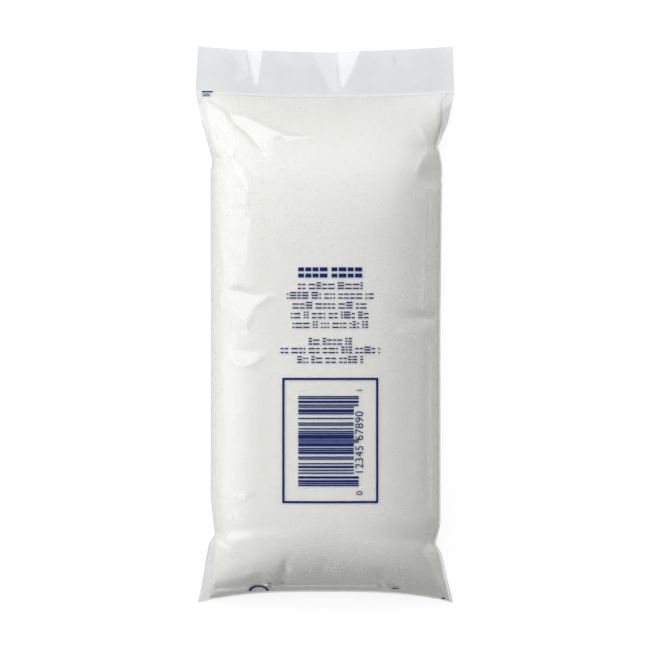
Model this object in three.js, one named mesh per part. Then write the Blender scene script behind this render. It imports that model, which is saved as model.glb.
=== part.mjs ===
// A one-pound bag of granulated sugar: a clear film tube, sealed flat at both ends and lying on its back.
// Millimetres, +Z up. +Y runs to the flat header band at the top end, and +X to the right as seen from above.
// The origin is under the middle of the bag, on the surface that it lies on.
import * as THREE from "three";

// Driving dimensions of the bag
const LENGTH = 252; // from the header's corners to the tips of the bottom ears
const WIDTH = 117; // the tube pressed flat at the top seal
const THICKNESS = 33; // of the filled belly
const HEADER = 20.6; // length of the flat band above the top seal, at its corners
const FIN = 16; // length of the bottom seal, which is folded under the bag
const FILM = 0.5; // thickness of the band and the fin

// Curves of the two ends: how far the middle is drawn in from the corners
const HEADER_SAG = 2.9;
const TOP_SEAL_SAG = 2.4;
const BOTTOM_SAG = 5.6;
const TOP_BOW = 2; // 2 draws the end in along a parabola, more keeps its middle straighter
const BOTTOM_BOW = 3;

// Heights above the surface that the bag lies on
const SIDE_HEIGHT = 11; // where the bag is widest
const TOP_SEAL_HEIGHT = 10;
const TOP_SEAL_DROOP = 2.5; // the seal's corners hang this much lower
const HEADER_DROOP = 3;
const BOTTOM_SEAL_HEIGHT = 8.5;
const BOTTOM_EAR_DROOP = 7;
const FLOOR_PRESS = 1.1; // how far the belly is pressed flat
const SEAL_LEVEL_REACH = 40; // the side comes to its own height this far from a seal

// How squarely each film bulges across the bag. 2 is an ellipse.
const UPPER_SQUARE = 2.2;
const LOWER_SQUARE = 2.6;
const EAR_REACH = 34; // the corners stay flat for this far
const EAR_FLATNESS = 0.7;

// How each film rises from each seal: over what reach, how early it bends over and how steeply it starts
const UPPER_TOP_RISE = { reach: 66, bend: 2.3, steep: 0.85 };
const UPPER_BOTTOM_RISE = { reach: 40, bend: 2.3, steep: 0.6 };
const LOWER_TOP_RISE = { reach: 54, bend: 1.8, steep: 1 };
const LOWER_BOTTOM_RISE = { reach: 32, bend: 1.9, steep: 0.8 };

// Half widths of the outline at stations along the length. The narrow ones are the pinches beside the ears.
const CORNER = WIDTH / 2;
const LEFT_OUTLINE = [
  [126, 57.4], [105.4, CORNER], [92, 55.8], [74.5, 50.7], [68, 51.6], [0, 51.4], [-78, 51.5], [-94.3, 49.6],
  [-98.5, 52.3], [-126, 57.6],
];
const RIGHT_OUTLINE = [
  [126, 57.8], [105.4, CORNER], [91, 55.5], [80.3, 50.9], [72, 52.8], [0, 52], [-90, 52], [-98.5, 50],
  [-103, 52.6], [-126, 58.1],
];

// Height of the header's outer edge across its width: two steep rises with slow falls between them
const HEADER_WAVE = [
  [-60, 0.6], [-33, -1.6], [-28, 1.7], [4, -2], [16, 2.7], [60, -1],
];

// Folds of the upper film: start, end, half width and height. A negative height is a dent.
const FOLDS = [
  { from: [-56, 102], to: [-38, 74], width: 6, height: 2.2 },
  { from: [-54, 103], to: [-24, 80], width: 6, height: 1.8 },
  { from: [-40, 74], to: [-33, 58], width: 4.5, height: 1.3 },
  { from: [-44, 16], to: [-22, 15], width: 5, height: 1.1 },
  { from: [-44, -11], to: [-26, -12], width: 4.5, height: 1 },
  { from: [48, 78], to: [44, 62], width: 6, height: -2.6 },
  { from: [40, 66], to: [45, 58], width: 5, height: -1.6 },
  { from: [46, 56], to: [46.5, 10], width: 3.5, height: -1 },
  { from: [36, 3], to: [47, 4], width: 4, height: -1.5 },
  { from: [45, -6], to: [46, -84], width: 3.5, height: -1 },
  { from: [36, -80], to: [49, -108], width: 5, height: 1.6 },
  { from: [-29, -106], to: [-31, -120], width: 5, height: -2.6 },
  { from: [-17, -100], to: [-18, -118], width: 5, height: -2 },
  { from: [21, -104], to: [22, -118], width: 4.5, height: -2.2 },
];

const FOLD_ONSET = 4; // folds reach their full height where the bag has a quarter of its own

// Mesh density
const ACROSS = 44; // steps from edge to edge, on each of the two films
const HEADER_ROWS = 4;
const BODY_ROWS = 42;
const END_CROWDING = 0.6; // 0 spaces the rows evenly, 1 crowds them most at the seals
const FIN_STEP = 0.3; // run of the small step at the fin's free edge

const END = LENGTH / 2;
const TOP_SEAL = END - HEADER;
const RUN = LENGTH - HEADER - TOP_SEAL_SAG - BOTTOM_SAG; // from seal to seal down the middle

const clamp = THREE.MathUtils.clamp;
const lerp = THREE.MathUtils.lerp;

// Straight lines through [place, value] pairs, in either order of place
function along(pairs, place) {
  const ordered = pairs[0][0] < pairs[1][0] ? pairs : [...pairs].reverse();
  if (place <= ordered[0][0]) return ordered[0][1];
  for (let i = 1; i < ordered.length; i++) {
    const [x0, y0] = ordered[i - 1];
    const [x1, y1] = ordered[i];
    if (place <= x1) return lerp(y0, y1, (place - x0) / (x1 - x0));
  }
  return ordered[ordered.length - 1][1];
}

// Grows from 0 at a seal to 1 at the reach
function swell(distance, { reach, bend, steep }) {
  return (1 - (1 - clamp(distance / reach, 0, 1)) ** bend) ** steep;
}

// Falls from 1 at a seal to 0 at the reach
function fade(distance, reach) {
  return (1 - clamp(distance / reach, 0, 1)) ** 2;
}

// Distances from the top seal and from the bottom seal, down the middle of the body
function fromSeals(v) {
  return [v * RUN, (1 - v) * RUN];
}

// Height that the folds add at a point of the upper film: straight flanks that meet in a crest
function folds(x, y) {
  let sum = 0;
  for (const { from, to, width, height } of FOLDS) {
    const dx = to[0] - from[0];
    const dy = to[1] - from[1];
    const length = Math.hypot(dx, dy);
    const t = ((x - from[0]) * dx + (y - from[1]) * dy) / (length * length);
    const off = Math.abs((x - from[0]) * dy - (y - from[1]) * dx) / length;
    const past = (Math.max(0, -t, t - 1) * length) / width;
    const reach = 1 - Math.hypot(off / width, past);
    if (reach > 0) sum += height * reach;
  }
  return sum;
}

// Plan position of a point: s runs from -1 at the left edge to 1 at the right, v from 0 at the top seal to 1
function bodyPlan(s, v) {
  const middle = lerp(TOP_SEAL - TOP_SEAL_SAG, BOTTOM_SAG - END, v);
  const side = lerp(TOP_SEAL, -END, v);
  const y = lerp(middle, side, Math.abs(s) ** lerp(TOP_BOW, BOTTOM_BOW, v));
  return [s * along(s < 0 ? LEFT_OUTLINE : RIGHT_OUTLINE, side), y];
}

// Height of the top seal across the bag
function sealHeight(s) {
  return TOP_SEAL_HEIGHT - TOP_SEAL_DROOP * s * s;
}

// Height at which the two films would meet
function bodyMiddle(s, v) {
  const [top, bottom] = fromSeals(v);
  const ear = BOTTOM_SEAL_HEIGHT - BOTTOM_EAR_DROOP * Math.abs(s) ** 3;
  const towardsTop = (sealHeight(s) - SIDE_HEIGHT) * fade(top, SEAL_LEVEL_REACH);
  return SIDE_HEIGHT + towardsTop + (ear - SIDE_HEIGHT) * fade(bottom, SEAL_LEVEL_REACH);
}

// Share of the full height at a place across the bag: round sides in the body, thin flat corners at the ends
function bodySection(s, v, square) {
  const [top, bottom] = fromSeals(v);
  const flat = fade(Math.min(top, bottom), EAR_REACH);
  return (1 - Math.abs(s) ** square) ** (0.5 + EAR_FLATNESS * flat);
}

// Upper film of the body
function upperPoint(s, v) {
  const [x, y] = bodyPlan(s, v);
  const [top, bottom] = fromSeals(v);
  const rise = swell(top, UPPER_TOP_RISE) * swell(bottom, UPPER_BOTTOM_RISE);
  const share = rise * bodySection(s, v, UPPER_SQUARE);
  const crown = (THICKNESS - SIDE_HEIGHT - FILM / 2) * share;
  const fold = folds(x, y) * clamp(share * FOLD_ONSET, 0, 1);
  return new THREE.Vector3(x, y, bodyMiddle(s, v) + FILM / 2 + Math.max(crown + fold, 0));
}

// Lower film of the body, pressed flat on the surface, thicker by the fin that is folded against it
function lowerPoint(s, v) {
  const [x, y] = bodyPlan(s, v);
  const [top, bottom] = fromSeals(v);
  const fall = swell(top, LOWER_TOP_RISE) * swell(bottom, LOWER_BOTTOM_RISE);
  const share = fall * bodySection(s, v, LOWER_SQUARE);
  const depth = (SIDE_HEIGHT + FLOOR_PRESS) * share;
  const fin = FILM * clamp((FIN + FIN_STEP - bottom) / FIN_STEP, 0, 1);
  return new THREE.Vector3(x, y, Math.max(bodyMiddle(s, v) - FILM / 2 - depth - fin, 0));
}

// The header band: b runs from 0 at the seal to 1 at the outer edge, and side is 1 on top and -1 underneath
function headerPoint(s, b, side) {
  const half = along(s < 0 ? LEFT_OUTLINE : RIGHT_OUTLINE, lerp(TOP_SEAL, END, b));
  const sag = lerp(TOP_SEAL_SAG, HEADER_SAG, b) * (1 - s * s);
  const x = s * half;
  const z = sealHeight(s) + b * (along(HEADER_WAVE, x) - HEADER_DROOP);
  return new THREE.Vector3(x, lerp(TOP_SEAL, END, b) - sag, z + (side * FILM) / 2);
}

// Places along the body, closer together near the seals, with a pair at the fin's free edge
function bodyStations() {
  const stations = [];
  for (let i = 1; i <= BODY_ROWS; i++) {
    const t = i / BODY_ROWS;
    stations.push(lerp(t, (1 - Math.cos(Math.PI * t)) / 2, END_CROWDING));
  }
  const edges = [1 - (FIN + FIN_STEP) / RUN, 1 - FIN / RUN];
  const clear = (v) => edges.every((edge) => Math.abs(v - edge) * RUN > FIN_STEP * 3);
  return [...stations.filter(clear), ...edges].sort((a, b) => a - b);
}

// Rows of points from the header's outer edge to the bottom seal, each with its upper and its lower film
function bagRows() {
  const places = Array.from({ length: ACROSS + 1 }, (_, i) => Math.sin(Math.PI * (i / ACROSS - 0.5)));
  const rows = [];
  for (let i = HEADER_ROWS; i >= 0; i--) {
    const b = i / HEADER_ROWS;
    rows.push([1, -1].map((side) => places.map((s) => headerPoint(s, b, side))));
  }
  for (const v of bodyStations()) {
    rows.push([upperPoint, lowerPoint].map((film) => places.map((s) => film(s, v))));
  }
  return rows;
}

// One closed surface: the two films, the narrow strips along both side edges and the strips across both ends
function bagGeometry() {
  const rows = bagRows();
  const columns = ACROSS + 1;
  const positions = rows.flat(2).flatMap((point) => point.toArray());
  const at = (row, film, column) => (row * 2 + film) * columns + column;
  const index = [];
  const quad = (a, b, c, d) => index.push(a, b, c, a, c, d);
  for (let row = 0; row + 1 < rows.length; row++) {
    for (let i = 0; i < ACROSS; i++) {
      quad(at(row, 0, i), at(row + 1, 0, i), at(row + 1, 0, i + 1), at(row, 0, i + 1));
      quad(at(row, 1, i + 1), at(row + 1, 1, i + 1), at(row + 1, 1, i), at(row, 1, i));
    }
    quad(at(row, 1, 0), at(row + 1, 1, 0), at(row + 1, 0, 0), at(row, 0, 0));
    quad(at(row, 0, ACROSS), at(row + 1, 0, ACROSS), at(row + 1, 1, ACROSS), at(row, 1, ACROSS));
  }
  const last = rows.length - 1;
  for (let i = 0; i < ACROSS; i++) {
    quad(at(0, 0, i), at(0, 0, i + 1), at(0, 1, i + 1), at(0, 1, i));
    quad(at(last, 1, i), at(last, 1, i + 1), at(last, 0, i + 1), at(last, 0, i));
  }
  const geometry = new THREE.BufferGeometry();
  geometry.setAttribute("position", new THREE.Float32BufferAttribute(positions, 3));
  geometry.setIndex(index);
  geometry.computeVertexNormals();
  return geometry;
}

const material = new THREE.MeshStandardMaterial({ color: 0xe6e6e1, roughness: 0.3, metalness: 0 });
const bag = new THREE.Mesh(bagGeometry(), material);
bag.name = "sugar_bag";

const root = new THREE.Group();
root.add(bag);
export default root;
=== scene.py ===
"""A one-pound bag of granulated sugar in a clear printed film tube, lying on its back.

Lengths are millimetres until a mesh is made, and every mesh is in metres. +Y runs along the bag to its flat
header band, +X to the right as seen from above, +Z up from the surface that the bag lies on.
"""

import logging
import math
from dataclasses import dataclass, field
from enum import Enum
from typing import Any, Sequence

import bmesh
import bpy
import numpy as np
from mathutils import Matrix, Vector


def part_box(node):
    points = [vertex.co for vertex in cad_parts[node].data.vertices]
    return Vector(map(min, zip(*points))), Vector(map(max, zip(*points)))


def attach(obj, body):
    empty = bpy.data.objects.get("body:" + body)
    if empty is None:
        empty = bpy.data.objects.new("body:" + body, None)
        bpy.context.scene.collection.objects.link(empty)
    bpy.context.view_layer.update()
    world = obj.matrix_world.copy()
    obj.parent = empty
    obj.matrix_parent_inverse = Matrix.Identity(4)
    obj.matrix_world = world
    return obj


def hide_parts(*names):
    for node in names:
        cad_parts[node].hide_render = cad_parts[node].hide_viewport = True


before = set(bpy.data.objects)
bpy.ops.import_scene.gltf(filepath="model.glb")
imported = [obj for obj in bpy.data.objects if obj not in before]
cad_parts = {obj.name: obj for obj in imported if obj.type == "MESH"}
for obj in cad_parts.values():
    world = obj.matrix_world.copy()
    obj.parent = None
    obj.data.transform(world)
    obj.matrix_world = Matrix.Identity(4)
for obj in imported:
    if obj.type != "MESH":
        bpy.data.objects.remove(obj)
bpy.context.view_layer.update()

MM = 0.001
NODE = "sugar_bag"
BODY = "root"
log = logging.getLogger("bag of sugar")

Array = np.ndarray
Point = tuple[float, float]
Colour = tuple[float, float, float, float]

SHARP_ANGLE = math.radians(55.0)
WHITE: Colour = (1.0, 1.0, 1.0, 1.0)


def lerp(start: Any, end: Any, share: Any) -> Any:
    """The value at a share of the way from start to end."""
    return start + (end - start) * share


def unit(value: Array) -> Array:
    """The value kept between 0 and 1."""
    return np.clip(value, 0.0, 1.0)


def smooth(low: float, high: float, value: Array) -> Array:
    """A soft step from 0 at low to 1 at high."""
    t = unit((value - low) / (high - low))
    return t * t * (3.0 - 2.0 * t)


def fade(distance: Array, reach: float) -> Array:
    """Falls from 1 at a seal to 0 at the reach."""
    return (1.0 - unit(distance / reach)) ** 2


# Shape of the bag


@dataclass(frozen=True)
class Rise:
    """How a film rises from a seal: over what reach, how early it bends over and how steeply it starts.

    lip is a low stretch right beside the seal, and lip_share the share of the height that it gains.
    """

    reach: float
    bend: float
    steep: float
    lip: float = 0.0
    lip_share: float = 0.0

    def share(self, distance: Array) -> Array:
        """Share of the full height at a distance from the seal."""
        beyond = unit((distance - self.lip) / (self.reach - self.lip))
        main = (1.0 - (1.0 - beyond) ** self.bend) ** self.steep
        shortest = 0.1
        low = self.lip_share * np.sqrt(unit(distance / max(self.lip, shortest)))
        return low + (1.0 - low) * main


class Profile(Enum):
    """Cross profile of a fold."""

    CREASE = "straight flanks that meet in an edge"
    ROLL = "round flanks"


@dataclass(frozen=True)
class Fold:
    """A fold of the upper film along a path in plan. A negative height is a dent.

    left and right are the widths of its flanks as seen when walking along the path. start and end are the
    shares of widths and height that it has at its two ends.
    """

    path: tuple[Point, ...]
    left: float
    right: float
    height: float
    start: float = 1.0
    end: float = 1.0
    profile: Profile = Profile.CREASE

    def lift(self, x: Array, y: Array) -> Array:
        """Height that the fold adds to the film.

        Args:
            x: plan positions across the bag.
            y: plan positions along the bag.

        Returns:
            The added heights, 0 beyond the flanks.
        """
        lengths = [math.dist(a, b) for a, b in zip(self.path, self.path[1:])]
        total = sum(lengths)
        nearest = np.full(x.shape, np.inf)
        reach = np.zeros(x.shape)
        walked = 0.0
        least_scale = 0.05
        for (x0, y0), (x1, y1), length in zip(self.path, self.path[1:], lengths):
            dx, dy = (x1 - x0) / length, (y1 - y0) / length
            t = np.clip((x - x0) * dx + (y - y0) * dy, 0.0, length)
            gap_x, gap_y = x - x0 - t * dx, y - y0 - t * dy
            distance = np.hypot(gap_x, gap_y)
            scale = lerp(self.start, self.end, (walked + t) / total)
            flank = np.where(dx * gap_y - dy * gap_x > 0.0, self.left, self.right)
            flank = flank * np.maximum(scale, least_scale)
            reach = np.where(distance < nearest, unit(1.0 - distance / flank) * scale, reach)
            nearest = np.minimum(nearest, distance)
            walked += length
        if self.profile is Profile.ROLL:
            reach = reach * reach * (3.0 - 2.0 * reach)
        return self.height * reach


@dataclass(frozen=True)
class Patch:
    """A place where the film stands clear of the sugar and lies smooth, as an outline in plan."""

    corners: tuple[Point, ...]
    edge: float = 0.5

    def mask(self, x: Array, y: Array, margin: float = 0.0) -> Array:
        """1 inside the outline widened by a margin, 0 outside, with a soft edge."""
        inside = np.zeros(x.shape, dtype=bool)
        nearest = np.full(x.shape, np.inf)
        for (x0, y0), (x1, y1) in zip(self.corners, self.corners[1:] + self.corners[:1]):
            span = (x1 - x0) ** 2 + (y1 - y0) ** 2
            t = unit(((x - x0) * (x1 - x0) + (y - y0) * (y1 - y0)) / span)
            nearest = np.minimum(nearest, np.hypot(x - x0 - t * (x1 - x0), y - y0 - t * (y1 - y0)))
            if y0 != y1:
                crossing = x0 + (y - y0) * (x1 - x0) / (y1 - y0)
                inside ^= ((y0 > y) != (y1 > y)) & (x < crossing)
        return smooth(-self.edge, self.edge, np.where(inside, nearest, -nearest) + margin)


@dataclass(frozen=True)
class Facet:
    """A nearly flat pane of film between folds, as an outline in plan with a slope of its own.

    slope is its rise per millimetre across and along the bag. lift raises its centre over the form.
    """

    outline: Patch
    slope: Point
    lift: float = 0.0
    clear: bool = True

    def centre(self) -> Point:
        """The mean of its corners."""
        return tuple(float(mean) for mean in np.mean(self.outline.corners, axis=0))

    def level(self, x: Array, y: Array) -> Array:
        """Heights of its plane over the form's height at the centre."""
        middle = self.centre()
        return self.lift + self.slope[0] * (x - middle[0]) + self.slope[1] * (y - middle[1])


@dataclass(frozen=True)
class BagForm:
    """The outer form of the bag, over a grid of s (-1 at the left edge to 1 at the right) and v.

    v runs from 0 at the top seal to 1 at the bottom seal. An outline lists places along the bag, from the
    header band down, and the half width there. A fade is two values between which a mask grows from 0 to 1.
    """

    length: float
    width: float
    thickness: float
    header: float = 20.6
    film: float = 0.12
    header_sag: float = 2.9
    top_seal_sag: float = 2.4
    bottom_sag: float = 5.6
    top_bow: float = 2.0
    bottom_bow: float = 3.0
    side_height: float = 11.0
    top_seal_height: float = 10.0
    top_seal_droop: float = 2.5
    header_droop: float = 1.5
    bottom_seal_height: float = 8.5
    bottom_ear_droop: float = 7.0
    bottom_ear_power: int = 3
    floor_press: float = 1.1
    seal_level_reach: float = 40.0
    upper_square: float = 2.2
    lower_square: float = 2.6
    ear_reach: float = 34.0
    ear_flatness: float = 0.7
    roundness: float = 0.5
    edge_power: int = 8
    upper_top_rise: Rise = Rise(66.0, 2.3, 0.85)
    upper_bottom_rise: Rise = Rise(34.0, 3.0, 0.60, lip=2.0, lip_share=0.07)
    bottom_side_haste: float = 1.7
    lower_top_rise: Rise = Rise(54.0, 1.8, 1.0)
    lower_bottom_rise: Rise = Rise(32.0, 1.9, 0.8)
    fold_onset: float = 4.0
    ground: float = 0.07
    top_left_ear: float = 3.4
    top_right_ear: float = 5.4
    top_ear_reach: float = 27.0
    top_ear_start: float = 0.35
    top_ear_growth: float = 5.0
    bottom_left_ear: float = 4.6
    bottom_right_ear: float = 1.4
    bottom_ear_reach: float = 30.0
    bottom_ear_bend: float = 0.6
    left_gap: float = 0.35
    right_gap: float = 0.15
    # Milkiness of the empty ears. The right one is raised over the left to paint in the shade on the side
    # away from the key light.
    left_haze: float = 0.26
    right_haze_and_shade: float = 0.5
    seal_fade: Point = (-0.5, 0.3)
    gap_fade: Point = (0.6, 2.0)
    side_fade: Point = (1.4, -0.2)
    raised_fade: Point = (0.25, 1.0)
    raised_clear: float = 0.5
    dent_margin: float = 1.4
    left_outline: tuple[Point, ...] = (
        (126, 57.4), (105.4, 58.5), (92, 55.8), (74.5, 50.7), (68, 51.6), (0, 51.4), (-78, 51.5),
        (-94.3, 49.6), (-98.5, 52.3), (-126, 57.6),
    )
    right_outline: tuple[Point, ...] = (
        (126, 57.8), (105.4, 58.5), (91, 55.5), (80.3, 50.9), (72, 52.8), (0, 52), (-90, 52), (-98.5, 50),
        (-103, 52.6), (-126, 58.1),
    )
    folds: tuple[Fold, ...] = ()
    facets: tuple[Facet, ...] = ()
    patches: tuple[Patch, ...] = ()
    # Outlines where the header band is made less milky, so that it reads brighter: a painted highlight on its
    # two wedges.
    wedge_highlight_thinning: tuple[Patch, ...] = ()
    wedge_highlight_milk_share: float = 0.6

    @property
    def end(self) -> float:
        """Half of the length."""
        return self.length / 2.0

    @property
    def top_seal(self) -> float:
        """Where the top seal meets the side edges."""
        return self.end - self.header

    @property
    def run(self) -> float:
        """From seal to seal down the middle."""
        return self.length - self.header - self.top_seal_sag - self.bottom_sag

    def half_width(self, s: Array, y: Array) -> Array:
        """Half width of the outline on the side of s, at a place along the side edge."""
        left, right = (np.array(pairs[::-1]).T for pairs in (self.left_outline, self.right_outline))
        return np.where(s < 0.0, np.interp(y, *left), np.interp(y, *right))

    def from_seals(self, v: Array) -> tuple[Array, Array]:
        """Distances from the top and from the bottom seal."""
        return v * self.run, (1.0 - v) * self.run

    def plan(self, s: Array, v: Array) -> tuple[Array, Array]:
        """Plan position of a point of the body."""
        middle = lerp(self.top_seal - self.top_seal_sag, self.bottom_sag - self.end, v)
        side = lerp(self.top_seal, -self.end, v)
        y = lerp(middle, side, np.abs(s) ** lerp(self.top_bow, self.bottom_bow, v))
        return s * self.half_width(s, side), y

    def seal_height(self, s: Array) -> Array:
        """Height of the top seal across the bag."""
        return self.top_seal_height - self.top_seal_droop * s * s

    def middle(self, s: Array, v: Array) -> Array:
        """Height at which the two films would meet."""
        top, bottom = self.from_seals(v)
        ear = self.bottom_seal_height - self.bottom_ear_droop * np.abs(s) ** self.bottom_ear_power
        towards_top = (self.seal_height(s) - self.side_height) * fade(top, self.seal_level_reach)
        return self.side_height + towards_top + (ear - self.side_height) * fade(bottom, self.seal_level_reach)

    def section(self, s: Array, v: Array, square: float) -> Array:
        """Share of the full height across the bag."""
        flat = fade(np.minimum(*self.from_seals(v)), self.ear_reach)
        return (1.0 - np.abs(s) ** square) ** (self.roundness + self.ear_flatness * flat)

    def edge(self, s: Array) -> Array:
        """Closes a film of even thickness at the side edges."""
        return np.sqrt(1.0 - np.abs(s) ** self.edge_power)

    def lifts(self, x: Array, y: Array) -> Array:
        """Height that all folds add to the upper film."""
        return sum((fold.lift(x, y) for fold in self.folds), np.zeros(x.shape))

    def locate(self, place: Point) -> tuple[Array, Array]:
        """Finds the s and v of a place in plan, by correcting a first guess."""
        x, v = np.full(1, place[0]), np.full(1, 0.5)
        steps = 40
        for _step in range(steps):
            s = x / self.half_width(x, lerp(self.top_seal, -self.end, v))
            v = unit(v + (self.plan(s, v)[1] - place[1]) / self.run)
        return s, v

    def folded(self, s: Array, v: Array, follow: float = 1.0) -> Array:
        """Points of the upper film with its folds but without its facets.

        Args:
            s: places across the bag.
            v: places along the body.
            follow: share of the raised folds that is kept. Dents are kept whole.

        Returns:
            Their x, y and z in one array.
        """
        x, y = self.plan(s, v)
        top, bottom = self.from_seals(v)
        hasty = bottom * (1.0 + self.bottom_side_haste * s * s)
        rise = self.upper_top_rise.share(top) * self.upper_bottom_rise.share(hasty)
        share = rise * self.section(s, v, self.upper_square)
        crown = (self.thickness - self.side_height - self.film) * share
        lift = self.lifts(x, y)
        lift = np.where(lift > 0.0, lift * follow, lift) * unit(share * self.fold_onset)
        z = self.middle(s, v) + self.film * self.edge(s) + np.maximum(crown + lift, 0.0)
        return np.stack((x, y, z), axis=-1)

    def upper(self, s: Array, v: Array, follow: float = 1.0) -> Array:
        """Points of the upper film, with what lifts it off the sugar kept to the share follow."""
        x, y, z = np.moveaxis(self.folded(s, v, follow), -1, 0)
        for facet in self.facets:
            base = self.folded(*self.locate(facet.centre()))[0, 2]
            shift = base + facet.level(x, y) - z
            sunk = facet.outline.mask(x, y, (1.0 - follow) * self.dent_margin)
            z = z + np.where(shift > 0.0, shift * follow * facet.outline.mask(x, y), shift * sunk)
        return np.stack((x, y, np.maximum(z, self.middle(s, v) + self.film * self.edge(s))), axis=-1)

    def lower(self, s: Array, v: Array) -> Array:
        """Points of the lower film, pressed flat on the surface that the bag lies on."""
        x, y = self.plan(s, v)
        top, bottom = self.from_seals(v)
        fall = self.lower_top_rise.share(top) * self.lower_bottom_rise.share(bottom)
        depth = (self.side_height + self.floor_press) * fall * self.section(s, v, self.lower_square)
        z = self.middle(s, v) - self.film * self.edge(s) - depth
        return np.stack((x, y, np.maximum(z, self.ground)), axis=-1)

    def side_gap(self, s: Array, top: Array, bottom: Array) -> Array:
        """Width of the empty strip beside the sugar, on the side of s, at distances from both seals."""
        left = s < 0.0
        top_ear = np.where(left, self.top_left_ear, self.top_right_ear)
        top_ear = top_ear * unit(self.top_ear_start + top / self.top_ear_growth)
        bottom_ear = np.where(left, self.bottom_left_ear, self.bottom_right_ear)
        bottom_share = unit(1.0 - bottom / self.bottom_ear_reach) ** self.bottom_ear_bend
        return (np.where(left, self.left_gap, self.right_gap)
                + top_ear * unit(1.0 - top / self.top_ear_reach)
                + bottom_ear * bottom_share)

    def empty(self, x: Array, y: Array) -> tuple[Array, Array]:
        """Masks of the fused header band, and of the strips at the side edges that hold no sugar."""
        across = x / self.half_width(x, y)
        seal_line = self.top_seal - self.top_seal_sag * (1.0 - across ** 2)
        gap = self.side_gap(x, np.maximum(seal_line - y, 0.0), np.maximum(y + self.end, 0.0))
        from_side = (1.0 - np.abs(across)) * self.width / 2.0
        ear = smooth(*self.gap_fade, gap) * smooth(*self.side_fade, from_side - gap)
        return smooth(*self.seal_fade, y - seal_line), ear

    def weld(self, x: Array, y: Array) -> Array:
        """1 in the fused header band, less on its two bright wedges, where a highlight is painted by thinning
        the milk, and less in the empty ears: how milky the film is.
        """
        band, ear = self.empty(x, y)
        # Thinner milk on the bright wedges lets the glowing floor show through: a painted highlight.
        for patch in self.wedge_highlight_thinning:
            band = band * (1.0 - (1.0 - self.wedge_highlight_milk_share) * patch.mask(x, y))
        # The right ear gets more of the dark milk than the left: part milky film, part painted shade.
        return np.maximum(band, ear * np.where(x < 0.0, self.left_haze, self.right_haze_and_shade))

    def cling(self, x: Array, y: Array) -> Array:
        """1 where the film hugs the sugar, 0 where it stands clear and lies smooth."""
        raised = smooth(*self.raised_fade, self.lifts(x, y)) * self.raised_clear
        clear = np.maximum(raised, np.maximum(*self.empty(x, y)))
        for patch in (*self.patches, *(facet.outline for facet in self.facets if facet.clear)):
            clear = np.maximum(clear, patch.mask(x, y))
        return 1.0 - clear


@dataclass(frozen=True)
class Wedge:
    """A steep facet of the header band that narrows from its outer edge to a point near the seal."""

    left: float
    right: float
    point: float
    low: float
    high: float


@dataclass(frozen=True)
class HeaderBand:
    """The two films fused into one flat band above the top seal, slightly buckled."""

    form: BagForm
    thickness: float = 0.3
    thickening: float = 8.0
    foot: float = 0.03
    point_half_width: float = 0.2
    wedges: tuple[Wedge, ...] = (
        Wedge(left=-35.6, right=-27.6, point=-30.9, low=-2.3, high=2.3),
        Wedge(left=5.0, right=16.8, point=7.3, low=-2.6, high=3.4),
    )
    folds: tuple[Fold, ...] = (
        Fold(((-42.0, 104.8), (-40.4, 108.5), (-38.2, 111.5)), 1.6, 2.6, 0.8, 0.6, 0.4),
        Fold(((-33.0, 112.1), (-28.6, 112.1)), 0.7, 0.7, 0.3),
        Fold(((29.5, 121.0), (33.0, 106.5)), 2.5, 3.5, 0.5, 1.0, 0.5),
    )
    left_edge: Point = (-60.0, 0.6)
    right_edge: Point = (60.0, -1.0)

    def buckle(self, x: Array, open_share: Array) -> Array:
        """Height of the band's waves where they are full grown.

        Args:
            x: places across the bag.
            open_share: 0 where the wedges start, near the seal, to 1 at the outer edge.

        Returns:
            Heights above the band's mean level.
        """
        knots = [(np.full(x.shape, self.left_edge[0]), self.left_edge[1])]
        for wedge in self.wedges:
            knots.append((lerp(wedge.point - self.point_half_width, wedge.left, open_share), wedge.low))
            knots.append((lerp(wedge.point + self.point_half_width, wedge.right, open_share), wedge.high))
        knots.append((np.full(x.shape, self.right_edge[0]), self.right_edge[1]))
        height = np.zeros(x.shape)
        for (x0, z0), (x1, z1) in zip(knots, knots[1:]):
            t = (x - x0) / (x1 - x0)
            height = np.where((t >= 0.0) & (t <= 1.0), lerp(z0, z1, t), height)
        return height

    def points(self, s: Array, b: Array, side: float) -> Array:
        """Points of the band: side is 1 for its upper face and -1 for its lower face."""
        form = self.form
        level = lerp(form.top_seal, form.end, b)
        x = s * form.half_width(s, level)
        y = level - lerp(form.top_seal_sag, form.header_sag, b) * (1.0 - s * s)
        open_share = unit((b - self.foot) / (1.0 - self.foot))
        creases = sum((fold.lift(x, y) for fold in self.folds), np.zeros(x.shape))
        z = form.seal_height(s) - form.header_droop * b + self.buckle(x, open_share) * open_share + creases
        half = lerp(form.film, self.thickness / 2.0, unit(b * self.thickening)) * form.edge(s)
        return np.stack((x, y, z + side * half), axis=-1)


# Meshes


def inset(points: Array, depth: float, middle: Array, over: bool) -> Array:
    """Moves a grid of points of one film towards the inside of the bag, along its normals.

    Args:
        points: the grid, by rows down the bag and columns across it.
        depth: how far they move.
        middle: heights where the two films would meet, which no point may cross.
        over: True for the upper film.

    Returns:
        The moved points.
    """
    normal = np.cross(np.gradient(points, axis=0), np.gradient(points, axis=1))
    normal /= np.linalg.norm(normal, axis=-1, keepdims=True)
    moved = points + normal * (-depth if over else depth)
    clearance = 0.01
    height = moved[..., 2]
    moved[..., 2] = np.maximum(height, middle + clearance) if over else np.minimum(height, middle - clearance)
    return moved


def spread(count: int, crowding: float) -> Array:
    """Places from -1 to 1 that crowd towards both ends."""
    even = np.linspace(-1.0, 1.0, count)
    return lerp(even, np.sin(even * math.pi / 2.0), crowding)


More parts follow.
